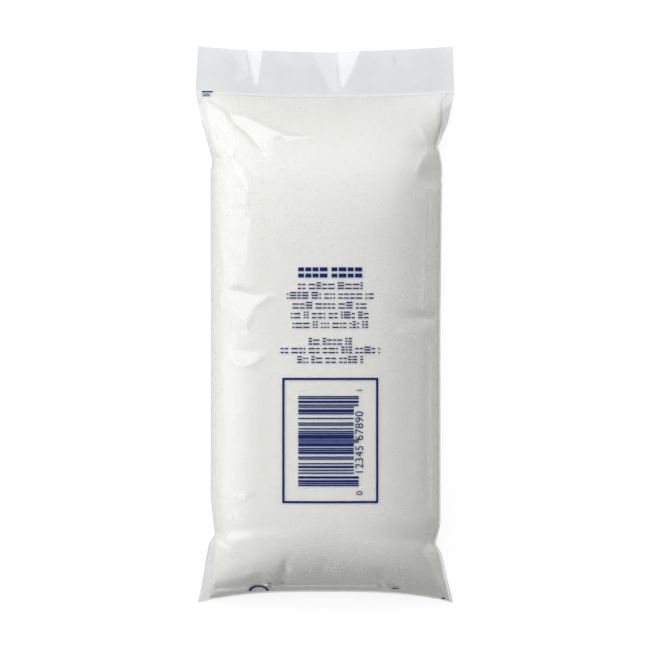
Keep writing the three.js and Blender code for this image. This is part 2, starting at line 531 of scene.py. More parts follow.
@dataclass
class Loft:
    """A closed skin through rows of points: an upper and a coarser lower face that share their side edges.

    Each row is an array of points. The counts of cells in two rows that meet are multiples of each other.
    """

    upper: Sequence[Array]
    lower: Sequence[Array]

    def build(self, inward: bool = False) -> bmesh.types.BMesh:
        """Joins the rows and closes both ends.

        Args:
            inward: turns the faces to the inside, for the wall of a cavity.

        Returns:
            The skin in metres.
        """
        mesh = bmesh.new()
        rings = []
        for upper, lower in zip(self.upper, self.lower):
            over = [mesh.verts.new(point) for point in upper * MM]
            under = [over[0]] + [mesh.verts.new(point) for point in lower[1:-1] * MM] + [over[-1]]
            rings.append((over, under))
        for (over, under), (next_over, next_under) in zip(rings, rings[1:]):
            self.stitch(mesh, over, next_over)
            self.stitch(mesh, next_under, under)
        for ring in (rings[0], rings[-1]):
            self.stitch(mesh, *ring)
        bmesh.ops.recalc_face_normals(mesh, faces=mesh.faces)
        if inward:
            bmesh.ops.reverse_faces(mesh, faces=mesh.faces)
        return mesh

    @staticmethod
    def stitch(mesh: bmesh.types.BMesh, first: list[Any], second: list[Any]) -> None:
        """Joins two rows of vertices by faces, one for each cell of the coarser row."""
        cells = min(len(first), len(second)) - 1
        near, far = (len(first) - 1) // cells, (len(second) - 1) // cells
        for i in range(cells):
            start = first[i * near:(i + 1) * near + 1]
            back = [vert for vert in second[i * far:(i + 1) * far + 1][::-1] if vert not in start]
            mesh.faces.new(start + back)


def add_object(name: str, data: Any) -> bpy.types.Object:
    """A new object at the origin of the scene."""
    added = bpy.data.objects.new(name, data)
    bpy.context.scene.collection.objects.link(added)
    return added


def to_object(name: str, mesh: bmesh.types.BMesh, rounded: bool) -> bpy.types.Object:
    """Puts a mesh on an object at the origin.

    Args:
        name: the piece's name.
        mesh: its faces, in metres. It is freed.
        rounded: shades its faces smooth.

    Returns:
        The object, in the scene.
    """
    data = bpy.data.meshes.new(name)
    mesh.to_mesh(data)
    mesh.free()
    data.polygons.foreach_set("use_smooth", [rounded] * len(data.polygons))
    if rounded:
        data.set_sharp_from_angle(angle=SHARP_ANGLE)
    return add_object(name, data)


def vertex_places(piece: bpy.types.Object) -> Array:
    """The piece's vertices in millimetres."""
    flat = np.empty(len(piece.data.vertices) * 3)
    piece.data.vertices.foreach_get("co", flat)
    return flat.reshape(-1, 3) / MM


def store(piece: bpy.types.Object, name: str, values: Array) -> None:
    """Keeps one number for each vertex under a name."""
    attribute = piece.data.attributes.new(name, "FLOAT", "POINT")
    attribute.data.foreach_set("value", values.astype(np.float32))


def finish_piece(piece: bpy.types.Object, material: bpy.types.Material | None = None) -> None:
    """Gives a piece its material and its body.

    Args:
        piece: the finished object.
        material: its only material, or None where the mesh has it already.
    """
    if material:
        piece.data.materials.clear()
        piece.data.materials.append(material)
    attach(piece, BODY)
    count = sum(len(face.vertices) - 2 for face in piece.data.polygons)
    log.info("%s: %d triangles", piece.name, count)


# Shader and geometry trees


class Value:
    """A shader value that can be used in sums."""

    def __init__(self, sheet: "Sheet", socket: bpy.types.NodeSocket) -> None:
        """Wraps an output socket of a sheet's tree."""
        self.sheet = sheet
        self.socket = socket

    def _maths(self, operation: str, first: Any, second: Any) -> "Value":
        """One Math node."""
        node = self.sheet.node("ShaderNodeMath", {"operation": operation}, {0: first, 1: second})
        return Value(self.sheet, node.outputs[0])

    def __add__(self, other: Any) -> "Value":
        """self + other."""
        return self._maths("ADD", self, other)

    def __radd__(self, other: Any) -> "Value":
        """other + self."""
        return self._maths("ADD", other, self)

    def __mul__(self, other: Any) -> "Value":
        """self * other."""
        return self._maths("MULTIPLY", self, other)

    def __rmul__(self, other: Any) -> "Value":
        """other * self."""
        return self._maths("MULTIPLY", other, self)

    def __pow__(self, other: Any) -> "Value":
        """self to the power of other."""
        return self._maths("POWER", self, other)


class Sheet:
    """A node tree that is filled from Python, for a material or for geometry."""

    def __init__(self, tree: bpy.types.NodeTree) -> None:
        """Starts with the tree's nodes cleared."""
        self.tree = tree
        tree.nodes.clear()

    def node(self, kind: str, settings: dict[str, Any] | None = None,
             values: dict[Any, Any] | None = None) -> bpy.types.Node:
        """Adds one node.

        Args:
            kind: the node's type.
            settings: its own properties, set first.
            values: numbers, colours, sockets, nodes or Values for its inputs, by name or index.

        Returns:
            The node.
        """
        node = self.tree.nodes.new(kind)
        for name, value in (settings or {}).items():
            setattr(node, name, value)
        for name, value in (values or {}).items():
            self.feed(node.inputs[name], value)
        return node

    def feed(self, socket: bpy.types.NodeSocket, value: Any) -> None:
        """Links a value's output to a socket, or sets the socket to it."""
        if isinstance(value, Value):
            value = value.socket
        if isinstance(value, bpy.types.Node):
            value = value.outputs[0]
        if isinstance(value, bpy.types.NodeSocket):
            self.tree.links.new(value, socket)
        else:
            socket.default_value = value

    def value(self, kind: str, output: Any, settings: dict[str, Any] | None = None,
              values: dict[Any, Any] | None = None) -> Value:
        """Adds one node and wraps one of its outputs."""
        return Value(self, self.node(kind, settings, values).outputs[output])

    def place(self) -> Value:
        """The place on the piece, in its own space."""
        return self.value("ShaderNodeTexCoord", "Object")

    def noise(self, scale: float, detail: float) -> Value:
        """Soft noise over the piece, with a number of waves in a metre."""
        return self.value("ShaderNodeTexNoise", "Fac", None,
                          {"Vector": self.place(), "Scale": scale, "Detail": detail})

    def blend(self, share: Any, first: Any, second: Any) -> bpy.types.NodeSocket:
        """A colour between two colours."""
        node = self.node("ShaderNodeMix", {"data_type": "RGBA"})
        for index, value in ((0, share), (6, first), (7, second)):
            self.feed(node.inputs[index], value)
        return node.outputs[2]

    def surface(self, shader: bpy.types.Node) -> None:
        """Ends a material in a shader."""
        self.node("ShaderNodeOutputMaterial", None, {"Surface": shader})

    def dressed_geometry(self, geometry: Any, material: Any) -> None:
        """Ends a geometry tree in real instances that wear a material."""
        real = self.node("GeometryNodeRealizeInstances", None, {0: geometry})
        dressed = self.node("GeometryNodeSetMaterial", None, {"Geometry": real, "Material": material})
        self.node("NodeGroupOutput", None, {0: dressed})


def new_geometry(name: str, inputs: dict[str, str]) -> tuple[bpy.types.NodeTree, Sheet, Any]:
    """Starts a geometry tree with one output.

    Args:
        name: the tree's name.
        inputs: the kind of each named input.

    Returns:
        The tree, its sheet and its input sockets by name.
    """
    tree = bpy.data.node_groups.new(name, "GeometryNodeTree")
    sheet = Sheet(tree)
    for label, kind in inputs.items():
        tree.interface.new_socket(name=label, in_out="INPUT", socket_type="NodeSocket" + kind)
    tree.interface.new_socket(name="Result", in_out="OUTPUT", socket_type="NodeSocketGeometry")
    return tree, sheet, sheet.node("NodeGroupInput").outputs


def new_material(name: str) -> tuple[bpy.types.Material, Sheet]:
    """A material and the empty sheet of its tree."""
    material = bpy.data.materials.new(name)
    material.use_nodes = True
    return material, Sheet(material.node_tree)


@dataclass(frozen=True)
class ClearFilm:
    """Clear glossy polyethylene: smooth where it stands clear, dimpled by the crystals where it hugs them."""

    tint: Colour = (0.982, 0.983, 0.985, 1.0)
    milk: Colour = (0.42, 0.43, 0.465, 1.0)
    body_haze: float = 0.02
    weld_haze: float = 0.22
    smooth_roughness: float = 0.05
    dimpled_roughness: float = 0.34
    reflectance: float = 0.052
    grazing: float = 0.35
    fresnel_power: float = 5.0
    dimple_size: float = 0.9
    dimple_depth: float = 0.05
    dimple_strength: float = 0.6
    streak_scale: float = 90.0
    streak_detail: float = 3.0
    streak_floor: float = 0.8
    streak_span: float = 0.4

    def material(self) -> bpy.types.Material:
        """The film's material."""
        material, sheet = new_material("clear film")
        cling = sheet.value("ShaderNodeAttribute", "Fac", {"attribute_name": "cling"})
        weld = sheet.value("ShaderNodeAttribute", "Fac", {"attribute_name": "weld"})
        dimples = sheet.value("ShaderNodeTexVoronoi", "Distance", {"feature": "SMOOTH_F1"},
                              {"Vector": sheet.place(), "Scale": 1.0 / (self.dimple_size * MM)})
        bump = sheet.node("ShaderNodeBump", None, {
            "Height": dimples * cling, "Strength": self.dimple_strength, "Distance": self.dimple_depth * MM})
        streaks = self.streak_floor + sheet.noise(self.streak_scale, self.streak_detail) * self.streak_span
        haze = lerp(self.body_haze, self.weld_haze, weld) * streaks
        roughness = lerp(self.smooth_roughness, self.dimpled_roughness, cling)
        facing = sheet.value("ShaderNodeLayerWeight", "Facing", None, {"Blend": 0.5})
        shine = self.reflectance + self.grazing * facing ** self.fresnel_power
        clear = sheet.node("ShaderNodeBsdfTransparent", None, {"Color": self.tint})
        milk = sheet.node("ShaderNodeBsdfDiffuse", None, {"Color": self.milk})
        gloss = sheet.node("ShaderNodeBsdfGlossy", None, {"Roughness": roughness, "Normal": bump})
        body = sheet.node("ShaderNodeMixShader", None, {0: haze, 1: clear, 2: milk})
        sheet.surface(sheet.node("ShaderNodeMixShader", None, {0: shine, 1: body, 2: gloss}))
        return material


@dataclass(frozen=True)
class SugarFinish:
    """White sugar: packed fine grains, or single crystals."""

    name: str
    pale: Colour
    shade: Colour
    roughness: float
    grain: float = 0.6
    grain_share: float = 0.6
    relief: float = 0.25
    relief_strength: float = 0.5
    drift_scale: float = 60.0
    drift_detail: float = 2.0

    def material(self) -> bpy.types.Material:
        """The sugar's material."""
        material, sheet = new_material(self.name)
        grains = sheet.node("ShaderNodeTexVoronoi", None, {
            "Vector": sheet.place(), "Scale": 1.0 / (self.grain * MM)})
        tone = sheet.value("ShaderNodeSeparateColor", "Red", None, {"Color": grains.outputs["Color"]})
        drift = sheet.noise(self.drift_scale, self.drift_detail)
        bump = sheet.node("ShaderNodeBump", None, {
            "Height": grains.outputs["Distance"],
            "Strength": self.relief_strength,
            "Distance": self.relief * MM})
        share = tone * self.grain_share + drift * (1.0 - self.grain_share)
        sheet.surface(sheet.node("ShaderNodeBsdfPrincipled", None, {
            "Base Color": sheet.blend(share, self.shade, self.pale),
            "Roughness": self.roughness,
            "Normal": bump}))
        return material


@dataclass(frozen=True)
class InkFinish:
    """Blue printing ink, a little uneven."""

    name: str
    deep: Colour
    thin: Colour
    roughness: float = 0.45
    roughness_span: float = 0.1
    gloss: float = 0.1
    mottle_scale: float = 700.0
    mottle_detail: float = 4.0

    def material(self) -> bpy.types.Material:
        """The ink's material."""
        material, sheet = new_material(self.name)
        mottle = sheet.noise(self.mottle_scale, self.mottle_detail)
        sheet.surface(sheet.node("ShaderNodeBsdfPrincipled", None, {
            "Base Color": sheet.blend(mottle, self.deep, self.thin),
            "Roughness": self.roughness + mottle * self.roughness_span,
            "Specular IOR Level": self.gloss}))
        return material


# Sub-assemblies


@dataclass
class FilmTube:
    """The clear film: an outer wall with its header band, and the wall of the cavity that holds the sugar."""

    form: BagForm
    header: HeaderBand
    cells: int = 44
    ratio: int = 3
    rows: int = 236
    header_rows: int = 22
    edge_crowding: float = 0.6
    end_crowding: float = 0.4
    wall: float = 0.12
    seal_gap: float = 0.3

    def body_grid(self, columns: int, start: float, stop: float) -> tuple[Array, Array]:
        """The s and v of a grid over the body, from start to stop in v."""
        v = lerp(start, stop, (spread(self.rows, self.end_crowding) + 1.0) / 2.0)
        return np.meshgrid(spread(columns, self.edge_crowding), v)

    def outer(self) -> bmesh.types.BMesh:
        """The outside of the film, with the header band."""
        fine = self.cells * self.ratio + 1
        s, b = np.meshgrid(spread(fine, self.edge_crowding), np.linspace(1.0, 0.0, self.header_rows))
        upper = self.form.upper(*self.body_grid(fine, 0.0, 1.0))
        lower = self.form.lower(*self.body_grid(self.cells + 1, 0.0, 1.0))
        above = [*self.header.points(s, b, 1.0), *upper[1:]]
        below = [*self.header.points(s, b, -1.0), *lower[1:]]
        return Loft(above, below).build()

    def inner(self) -> bmesh.types.BMesh:
        """The wall of the cavity, one film's thickness inside."""
        gap = self.seal_gap / self.form.run
        faces = []
        for columns, over in ((self.cells * self.ratio + 1, True), (self.cells + 1, False)):
            s, v = self.body_grid(columns, gap, 1.0 - gap)
            points = self.form.upper(s, v) if over else self.form.lower(s, v)
            faces.append(inset(points, self.wall, self.form.middle(s, v), over))
        return Loft(*faces).build(inward=True)

    def build(self, material: bpy.types.Material) -> bpy.types.Object:
        """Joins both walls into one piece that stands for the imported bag."""
        whole = self.outer()
        cavity = bpy.data.meshes.new("cavity")
        inner = self.inner()
        inner.to_mesh(cavity)
        inner.free()
        whole.from_mesh(cavity)
        bpy.data.meshes.remove(cavity)
        film = to_object("film", whole, rounded=True)
        x, y, _ = vertex_places(film).T
        store(film, "cling", self.form.cling(x, y))
        store(film, "weld", self.form.weld(x, y))
        finish_piece(film, material)
        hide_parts(NODE)
        return film


@dataclass
class BottomFin:
    """The bottom seal, folded under the bag."""

    form: BagForm
    length: float = 16.0
    width_share: float = 0.86
    thickness: float = 0.3
    gap: float = 0.15
    haze: float = 0.15
    ground: float = 0.02
    cells: int = 60
    rows: int = 20
    edge_crowding: float = 0.4

    def build(self, material: bpy.types.Material) -> bpy.types.Object:
        """A flap that follows the lower film from the bottom edge."""
        start = 1.0 - self.length / self.form.run
        s, v = np.meshgrid(spread(self.cells + 1, self.edge_crowding), np.linspace(start, 1.0, self.rows))
        top = self.form.lower(s * self.width_share, v)
        top[..., 2] -= self.gap
        low = top.copy()
        low[..., 2] -= self.thickness * self.form.edge(s)
        for face in (top, low):
            face[..., 2] = np.maximum(face[..., 2], self.ground)
        fin = to_object("bottom_fin", Loft(top, low).build(), rounded=True)
        store(fin, "cling", np.zeros(len(fin.data.vertices)))
        store(fin, "weld", np.full(len(fin.data.vertices), self.haze))
        finish_piece(fin, material)
        return fin


@dataclass
class SugarFill:
    """The sugar inside: a packed core just inside the film, which the crystals are later set on."""

    form: BagForm
    cells: int = 32
    ratio: int = 3
    rows: int = 150
    edge_crowding: float = 0.75
    end_crowding: float = 0.6
    clearance: float = 0.5
    side_rounding: float = 2.2
    end_rounding: float = 1.6
    top_gap: float = 0.25
    bottom_gap: float = 0.5
    follow: float = 0.45

    def width_share(self, s: Array, v: Array) -> Array:
        """Share of the bag's width that the sugar fills: less in the ears beside the seals."""
        return 1.0 - self.form.side_gap(s, *self.form.from_seals(v)) / (self.form.width / 2.0)

    def core(self) -> bmesh.types.BMesh:
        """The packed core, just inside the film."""
        start, stop = self.top_gap / self.form.run, 1.0 - self.bottom_gap / self.form.run
        faces = []
        for columns, over in ((self.cells * self.ratio + 1, True), (self.cells + 1, False)):
            v = lerp(start, stop, (spread(self.rows, self.end_crowding) + 1.0) / 2.0)
            s, v = np.meshgrid(spread(columns, self.edge_crowding), v)
            inner = s * self.width_share(s, v)
            points = self.form.upper(inner, v, self.follow) if over else self.form.lower(inner, v)
            middle = self.form.middle(inner, v)
            points = inset(points, self.clearance, middle, over)
            from_side = (1.0 - np.abs(s)) * self.form.width / 2.0
            from_end = np.minimum(v - start, stop - v) * self.form.run
            rim = self.lip(from_side / self.side_rounding) * self.lip(from_end / self.end_rounding)
            points[..., 2] = lerp(middle, points[..., 2], rim)
            faces.append(points)
        return Loft(*faces).build()

    @staticmethod
    def lip(share: Array) -> Array:
        """Rounds the rim of the core: near 0 at the rim to 1 further in."""
        least = 0.02
        return np.sqrt(1.0 - (1.0 - np.clip(share, least, 1.0)) ** 2)

    def build(self, material: bpy.types.Material) -> bpy.types.Object:
        """The core as a piece."""
        core = to_object("sugar", self.core(), rounded=True)
        finish_piece(core, material)
        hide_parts(NODE)
        return core


@dataclass
class CrystalScatter:
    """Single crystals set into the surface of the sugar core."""

    size: float = 0.58
    smallest: float = 0.65
    largest: float = 1.15
    spacing: float = 0.75
    density: float = 0.3
    quick_share: float = 0.4
    seed: int = 7

    def crystal(self) -> bpy.types.Object:
        """One leaning block with a smaller top, as sugar crystals grow."""
        mesh = bmesh.new()
        long, wide, top, lean, tall = 0.5, 0.4, 0.34, 0.12, 0.32
        corners = ((-1, -1), (1, -1), (1, 1), (-1, 1))
        low = [mesh.verts.new((x * long, y * wide, -tall)) for x, y in corners]
        high = [mesh.verts.new((x * top + lean, y * top, tall)) for x, y in corners]
        mesh.faces.new(low)
        mesh.faces.new(high)
        for i in range(4):
            mesh.faces.new((low[i], low[(i + 1) % 4], high[(i + 1) % 4], high[i]))
        bmesh.ops.recalc_face_normals(mesh, faces=mesh.faces)
        return to_object("one crystal", mesh, rounded=False)

    def tree(self) -> bpy.types.NodeTree:
        """Spreads crystals evenly over a surface and turns each one at random."""
        tree, sheet, given = new_geometry("crystals on a surface", {
            "Surface": "Geometry", "Crystal": "Object", "Spacing": "Float", "Density": "Float",
            "Size": "Float", "Seed": "Int", "Finish": "Material"})
        shape = sheet.node("GeometryNodeObjectInfo", None, {"Object": given["Crystal"]})
        spots = sheet.node("GeometryNodeDistributePointsOnFaces", {"distribute_method": "POISSON"},
                           {"Mesh": given["Surface"], "Distance Min": given["Spacing"],
                            "Density Max": given["Density"], "Seed": given["Seed"]})
        turn = sheet.node("FunctionNodeRandomValue", {"data_type": "FLOAT_VECTOR"},
                          {0: (0.0, 0.0, 0.0), 1: (math.tau, math.tau, math.tau), "Seed": given["Seed"]})
        rotation = sheet.node("FunctionNodeEulerToRotation", None, {0: turn.outputs[0]})
        share = sheet.node("FunctionNodeRandomValue", {"data_type": "FLOAT"},
                           {2: self.smallest, 3: self.largest, "Seed": given["Seed"]})
        placed = sheet.node("GeometryNodeInstanceOnPoints", None, {
            "Points": spots.outputs["Points"], "Instance": shape.outputs["Geometry"], "Rotation": rotation,
            "Scale": Value(sheet, share.outputs[1]) * given["Size"]})
        sheet.dressed_geometry(placed, given["Finish"])
        return tree

    def build(self, core: bpy.types.Object, material: bpy.types.Material) -> bpy.types.Object:
        """Crystals over the whole core, as one plain mesh."""
        shape = self.crystal()
        density = self.density * 1.0
        crystals = grow("sugar_crystals", core, self.tree(), {
            "Crystal": shape, "Spacing": self.spacing * MM, "Density": density / MM ** 2,
            "Size": self.size * MM, "Seed": self.seed, "Finish": material,
        })
        bpy.data.objects.remove(shape)
        finish_piece(crystals)
        return crystals


def grow(name: str, source: bpy.types.Object, tree: bpy.types.NodeTree,
         inputs: dict[str, Any]) -> bpy.types.Object:
    """Runs a geometry tree on a copy of an object's mesh and keeps the result as a plain mesh.

    Args:
        name: the new piece's name.
        source: the object whose mesh the tree starts from. It stays as it is.
        tree: the geometry tree.
        inputs: values of the tree's named inputs.

    Returns:
        The new piece, in the scene.
    """
    carrier = add_object(name, source.data)
    modifier = carrier.modifiers.new(tree.name, "NODES")
    modifier.node_group = tree
    sockets = {item.name: item.identifier for item in tree.interface.items_tree if item.in_out == "INPUT"}
    for key, value in inputs.items():
        modifier[sockets[key]] = value
    settled = carrier.evaluated_get(bpy.context.evaluated_depsgraph_get())
    plain = bpy.data.meshes.new_from_object(settled)
    plain.name = name
    carrier.modifiers.remove(modifier)
    carrier.data = plain
    return carrier


@dataclass
class FlatPrint:
    """Flat shapes of ink, drawn in plan and then laid on the film."""

    step: float = 1.6
    least_inner: float = 0.02
    figure_scale: float = 1.4
    join_distance: float = 0.002
    sheet: bmesh.types.BMesh = field(default_factory=bmesh.new)

    def bar(self, left: float, right: float, low: float, high: float) -> None:
        """A filled rectangle, cut into small cells that can follow the film."""
        across = max(1, math.ceil((right - left) / self.step))
        along = max(1, math.ceil((high - low) / self.step))
        grid = [[self.sheet.verts.new((lerp(left, right, i / across), lerp(low, high, j / along), 0.0))
                 for i in range(across + 1)] for j in range(along + 1)]
        for j in range(along):
            for i in range(across):
                self.sheet.faces.new((grid[j][i], grid[j][i + 1], grid[j + 1][i + 1], grid[j + 1][i]))

    def box(self, left: float, right: float, low: float, high: float, line: float) -> None:
        """A hollow rectangle with a line of even width."""
        across = (left, left + line, right - line, right)
        along = (low, low + line, high - line, high)
        for i in range(3):
            for j in range(3):
                if (i, j) != (1, 1):
                    self.bar(across[i], across[i + 1], along[j], along[j + 1])

    def arch(self, centre: Point, half_width: float, height: float, inner: float = 0.0,
             sweep: tuple[float, float] = (0.0, math.pi), steps: int = 24) -> None:
        """A filled half ellipse, or a ring sector where inner is the share that stays open."""
        rings = max(1, math.ceil((1.0 - inner) * half_width / self.step))
        angles = np.linspace(*sweep, steps + 1)
        rows = []
        for share in np.linspace(max(inner, self.least_inner), 1.0, rings + 1):
            x = centre[0] + np.cos(angles) * half_width * share
            y = centre[1] + np.sin(angles) * height * share
            rows.append([self.sheet.verts.new((*place, 0.0)) for place in zip(x, y)])
        for near, far in zip(rows, rows[1:]):
            for i in range(steps):
                self.sheet.faces.new((near[i], far[i], far[i + 1], near[i + 1]))

    def digit(self, text: str, height: float, place: Point, turn: float) -> None:
        """Plain figures, centred on a place and turned by an angle."""
        curve = bpy.data.curves.new("figures", "FONT")
        curve.body = text
        curve.align_x = "CENTER"
        curve.align_y = "CENTER"
        curve.size = height * self.figure_scale
        holder = add_object("figures", curve)
        shapes = bpy.data.meshes.new_from_object(holder.evaluated_get(bpy.context.evaluated_depsgraph_get()))
        bpy.data.objects.remove(holder)
        bpy.data.curves.remove(curve)
        cos, sin = math.cos(turn), math.sin(turn)
        for vertex in shapes.vertices:
            x, y, _ = vertex.co
            vertex.co = (place[0] + x * cos - y * sin, place[1] + x * sin + y * cos, 0.0)
        self.sheet.from_mesh(shapes)
        bpy.data.meshes.remove(shapes)

    def build(self, name: str, thickness: float) -> bpy.types.Object:
        """Gives the shapes their thickness and closes them."""
        bmesh.ops.remove_doubles(self.sheet, verts=self.sheet.verts, dist=self.join_distance)
        bmesh.ops.recalc_face_normals(self.sheet, faces=self.sheet.faces)
        for face in self.sheet.faces:
            if face.normal.z < 0.0:
                face.normal_flip()
        raised = bmesh.ops.extrude_face_region(self.sheet, geom=self.sheet.faces[:], use_keep_orig=True)
        for item in raised["geom"]:
            if isinstance(item, bmesh.types.BMVert):
                item.co.z += thickness
        bmesh.ops.scale(self.sheet, vec=(MM, MM, MM), verts=self.sheet.verts)
        bmesh.ops.recalc_face_normals(self.sheet, faces=self.sheet.faces)
        return to_object(name, self.sheet, rounded=False)


class Side(Enum):
    """The side of the bag that a print lies on."""

    UPPER = 1.0
    LOWER = -1.0


@dataclass(frozen=True)
class DashRow:
    """One row of stacked dashes, centred across the frame's axis. It says nothing and holds no letters."""

    width: float
    low: float
    height: float = 3.0
    stroke: float = 0.58
    small: float = 0.78
    tall_odds: float = 0.24
    widths: tuple[float, ...] = (0.9, 1.5, 2.1, 2.9)
    gap: float = 0.48
    space: float = 0.9
    group: tuple[int, int] = (2, 5)


@dataclass
class PrintedFilm:
    """Everything that is printed on the film, in blue.

    Sides and ends are the lowest and highest place of a field of print, across and along the bag.
    """

    film: bpy.types.Object
    ink: bpy.types.Material
    thickness: float = 0.05
    lift: float = 0.01
    ray_start: float = 200.0
    ray_length: float = 1000.0
    centre: float = 2.3
    frame_sides: Point = (-19.0, 23.7)
    frame_ends: Point = (-79.1, -23.4)
    frame_line: float = 1.0
    stripe_sides: Point = (-11.9, 12.8)
    stripe_ends: Point = (-71.3, -31.5)
    guard_side: float = 15.0
    modules: int = 95
    stripe_spill: float = 0.42
    stripe_seed: int = 20
    dash_seed: int = 12
    figure_column: float = 15.4
    figure_height: float = 3.6
    end_figure_height: float = 2.9
    under_half: float = 38.0

    def tree(self) -> bpy.types.NodeTree:
        """Drops flat shapes on to the film, from above or from below."""
        tree, sheet, given = new_geometry("ink on film", {
            "Shapes": "Geometry", "Film": "Object", "Side": "Float", "Lift": "Float", "Ink": "Material"})
        film = sheet.node("GeometryNodeObjectInfo", None, {"Object": given["Film"]})
        place = sheet.node("GeometryNodeInputPosition")
        parts = sheet.node("ShaderNodeSeparateXYZ", None, {0: place}).outputs
        side = Value(sheet, given["Side"])
        hit = sheet.node("GeometryNodeRaycast", None, {
            "Target Geometry": film.outputs["Geometry"],
            "Source Position": sheet.node("ShaderNodeCombineXYZ", None, {
                0: parts["X"], 1: parts["Y"], 2: side * (self.ray_start * MM)}),
            "Ray Direction": sheet.node("ShaderNodeCombineXYZ", None, {2: side * -1.0}),
            "Ray Length": self.ray_length * MM})
        off = Value(sheet, parts["Z"]) + given["Lift"]
        rise = sheet.node("ShaderNodeCombineXYZ", None, {2: off * side})
        spot = sheet.node("ShaderNodeVectorMath", {"operation": "ADD"},
                          {0: hit.outputs["Hit Position"], 1: rise})
        moved = sheet.node("GeometryNodeSetPosition", None, {"Geometry": given["Shapes"], "Position": spot})
        sheet.dressed_geometry(moved, given["Ink"])
        return tree

    def lay(self, name: str, flat: FlatPrint, side: Side = Side.UPPER) -> bpy.types.Object:
        """Lays finished flat shapes on the film as one piece."""
        shapes = flat.build("flat " + name, self.thickness)
        piece = grow(name, shapes, self.tree(), {
            "Film": self.film, "Side": side.value, "Lift": self.lift * MM, "Ink": self.ink,
        })
        bpy.data.objects.remove(shapes)
        if side is Side.LOWER:
            self._turn_out(piece)
        finish_piece(piece)
        return piece

    @staticmethod
    def _turn_out(piece: bpy.types.Object) -> None:
        """Turns the faces of a print that was laid on from below to the outside."""
        mesh = bmesh.new()
        mesh.from_mesh(piece.data)
        bmesh.ops.reverse_faces(mesh, faces=mesh.faces)
        mesh.to_mesh(piece.data)
        mesh.free()

    def stripe_frame(self) -> bpy.types.Object:
        """The plain rectangle round the stripes."""
        flat = FlatPrint()
        flat.box(*self.frame_sides, *self.frame_ends, self.frame_line)
        return self.lay("stripe_frame", flat)

    def stripes(self) -> bpy.types.Object:
        """Stripes of one to four modules, drawn by a seeded rule between longer guard stripes.

        Stripes and spaces take turns. Two halves of six symbols, each seven modules long, lie between guards.
        The first and the last symbol are as long as the guards.
        """
        flat = FlatPrint(step=2.2)
        left, right = self.stripe_sides
        bottom, top = self.stripe_ends
        module = (top - bottom) / self.modules
        dice = np.random.default_rng(self.stripe_seed)
        end_guard, middle_guard, symbol, symbols = [1] * 3, [1] * 5, 7, 6
        halves = []
        for _half in range(2):
            widths = []
            for _symbol in range(symbols):
                cuts = np.sort(dice.choice(np.arange(1, symbol), 3, replace=False))
                widths += [int(width) for width in np.diff([0, *cuts, symbol])]
            halves.append(widths)
        first_long = len(end_guard) + symbol
        middle = len(end_guard) + symbols * symbol
        middle_long = range(middle, middle + len(middle_guard))
        position = 0
        for index, width in enumerate([*end_guard, *halves[0], *middle_guard, *halves[1], *end_guard]):
            if index % 2 == 0:
                ends = position < first_long or position >= self.modules - first_long
                high = top - position * module
                flat.bar(left, self.guard_side if ends or position in middle_long else right,
                         high - (width + self.stripe_spill) * module, high)
            position += width
        return self.lay("stripes", flat)

    def figures(self) -> bpy.types.Object:
        """Counting figures beside the stripes, read upwards."""
        flat = FlatPrint()
        upright = math.pi / 2.0
        for text, y in (("0", -74.6), ("1", -28.9)):
            flat.digit(text, self.end_figure_height, (self.figure_column, y), upright)
        for text, ends in (("12345", (-65.2, -54.6)), ("67890", (-50.0, -39.4))):
            for figure, y in zip(text, np.linspace(*ends, len(text))):
                flat.digit(figure, self.figure_height, (self.figure_column, float(y)), upright)
        return self.lay("figures", flat)

    def dash_row(self, flat: FlatPrint, row: DashRow, dice: np.random.Generator) -> None:
        """Draws one row: stacks of two short dashes, or of three where the stack is tall, in small groups.

        Args:
            flat: where the shapes go.
            row: the row's measures.
            dice: the seeded draws.
        """
        left, stop = self.centre - row.width / 2.0, self.centre + row.width / 2.0
        left_in_group = int(dice.integers(*row.group))
        while left < stop - row.stroke:
            tall = dice.random() < row.tall_odds
            right = min(left + float(dice.choice(row.widths)), stop)
            top = row.low + row.height * (1.0 if tall else row.small) - row.stroke
            for level in np.linspace(row.low, top, 3 if tall else 2):
                flat.bar(left, right, float(level), float(level) + row.stroke)
            left = right + row.gap
            left_in_group -= 1
            if left_in_group == 0:
                left += row.space
                left_in_group = int(dice.integers(*row.group))

    def dash_rows(self) -> bpy.types.Object:
        """The block above the frame: a heavy row of dashes, five light rows, a gap and three light rows."""
        flat = FlatPrint()
        dice = np.random.default_rng(self.dash_seed)
        heavy = DashRow(28.4, 21.1, 4.5, stroke=1.75, small=1.0, tall_odds=0.0, widths=(2.6, 3.4), gap=0.6,
                        space=1.2, group=(3, 5))
        light = [DashRow(width, low) for width, low in (
            (28.8, 16.0), (38.6, 11.7), (33.6, 7.3), (35.0, 3.0), (33.6, -1.3), (19.2, -8.7), (44.2, -12.5),
            (29.2, -16.8))]
        for row in [heavy, *light]:
            self.dash_row(flat, row, dice)
        return self.lay("dash_rows", flat)

    def seal_mark(self) -> bpy.types.Object:
        """The small register mark at the left end of the top seal."""
        flat = FlatPrint(step=1.0)
        line = 0.22
        flat.bar(-55.6, -50.6, 104.9, 105.6)
        for low in (103.3, 103.8, 104.3):
            flat.bar(-55.2, -51.8, low, low + line)
        return self.lay("register_mark", flat)

    def end_marks(self) -> bpy.types.Object:
        """Traces of the print that wraps round the bottom edge."""
        flat = FlatPrint(step=1.0)
        flat.arch((-29.8, -119.9), 4.6, 2.9, inner=0.72)
        flat.bar(30.4, 33.4, -118.9, -118.5)
        flat.arch((53.6, -124.0), 0.9, 0.7)
        return self.lay("edge_traces", flat)

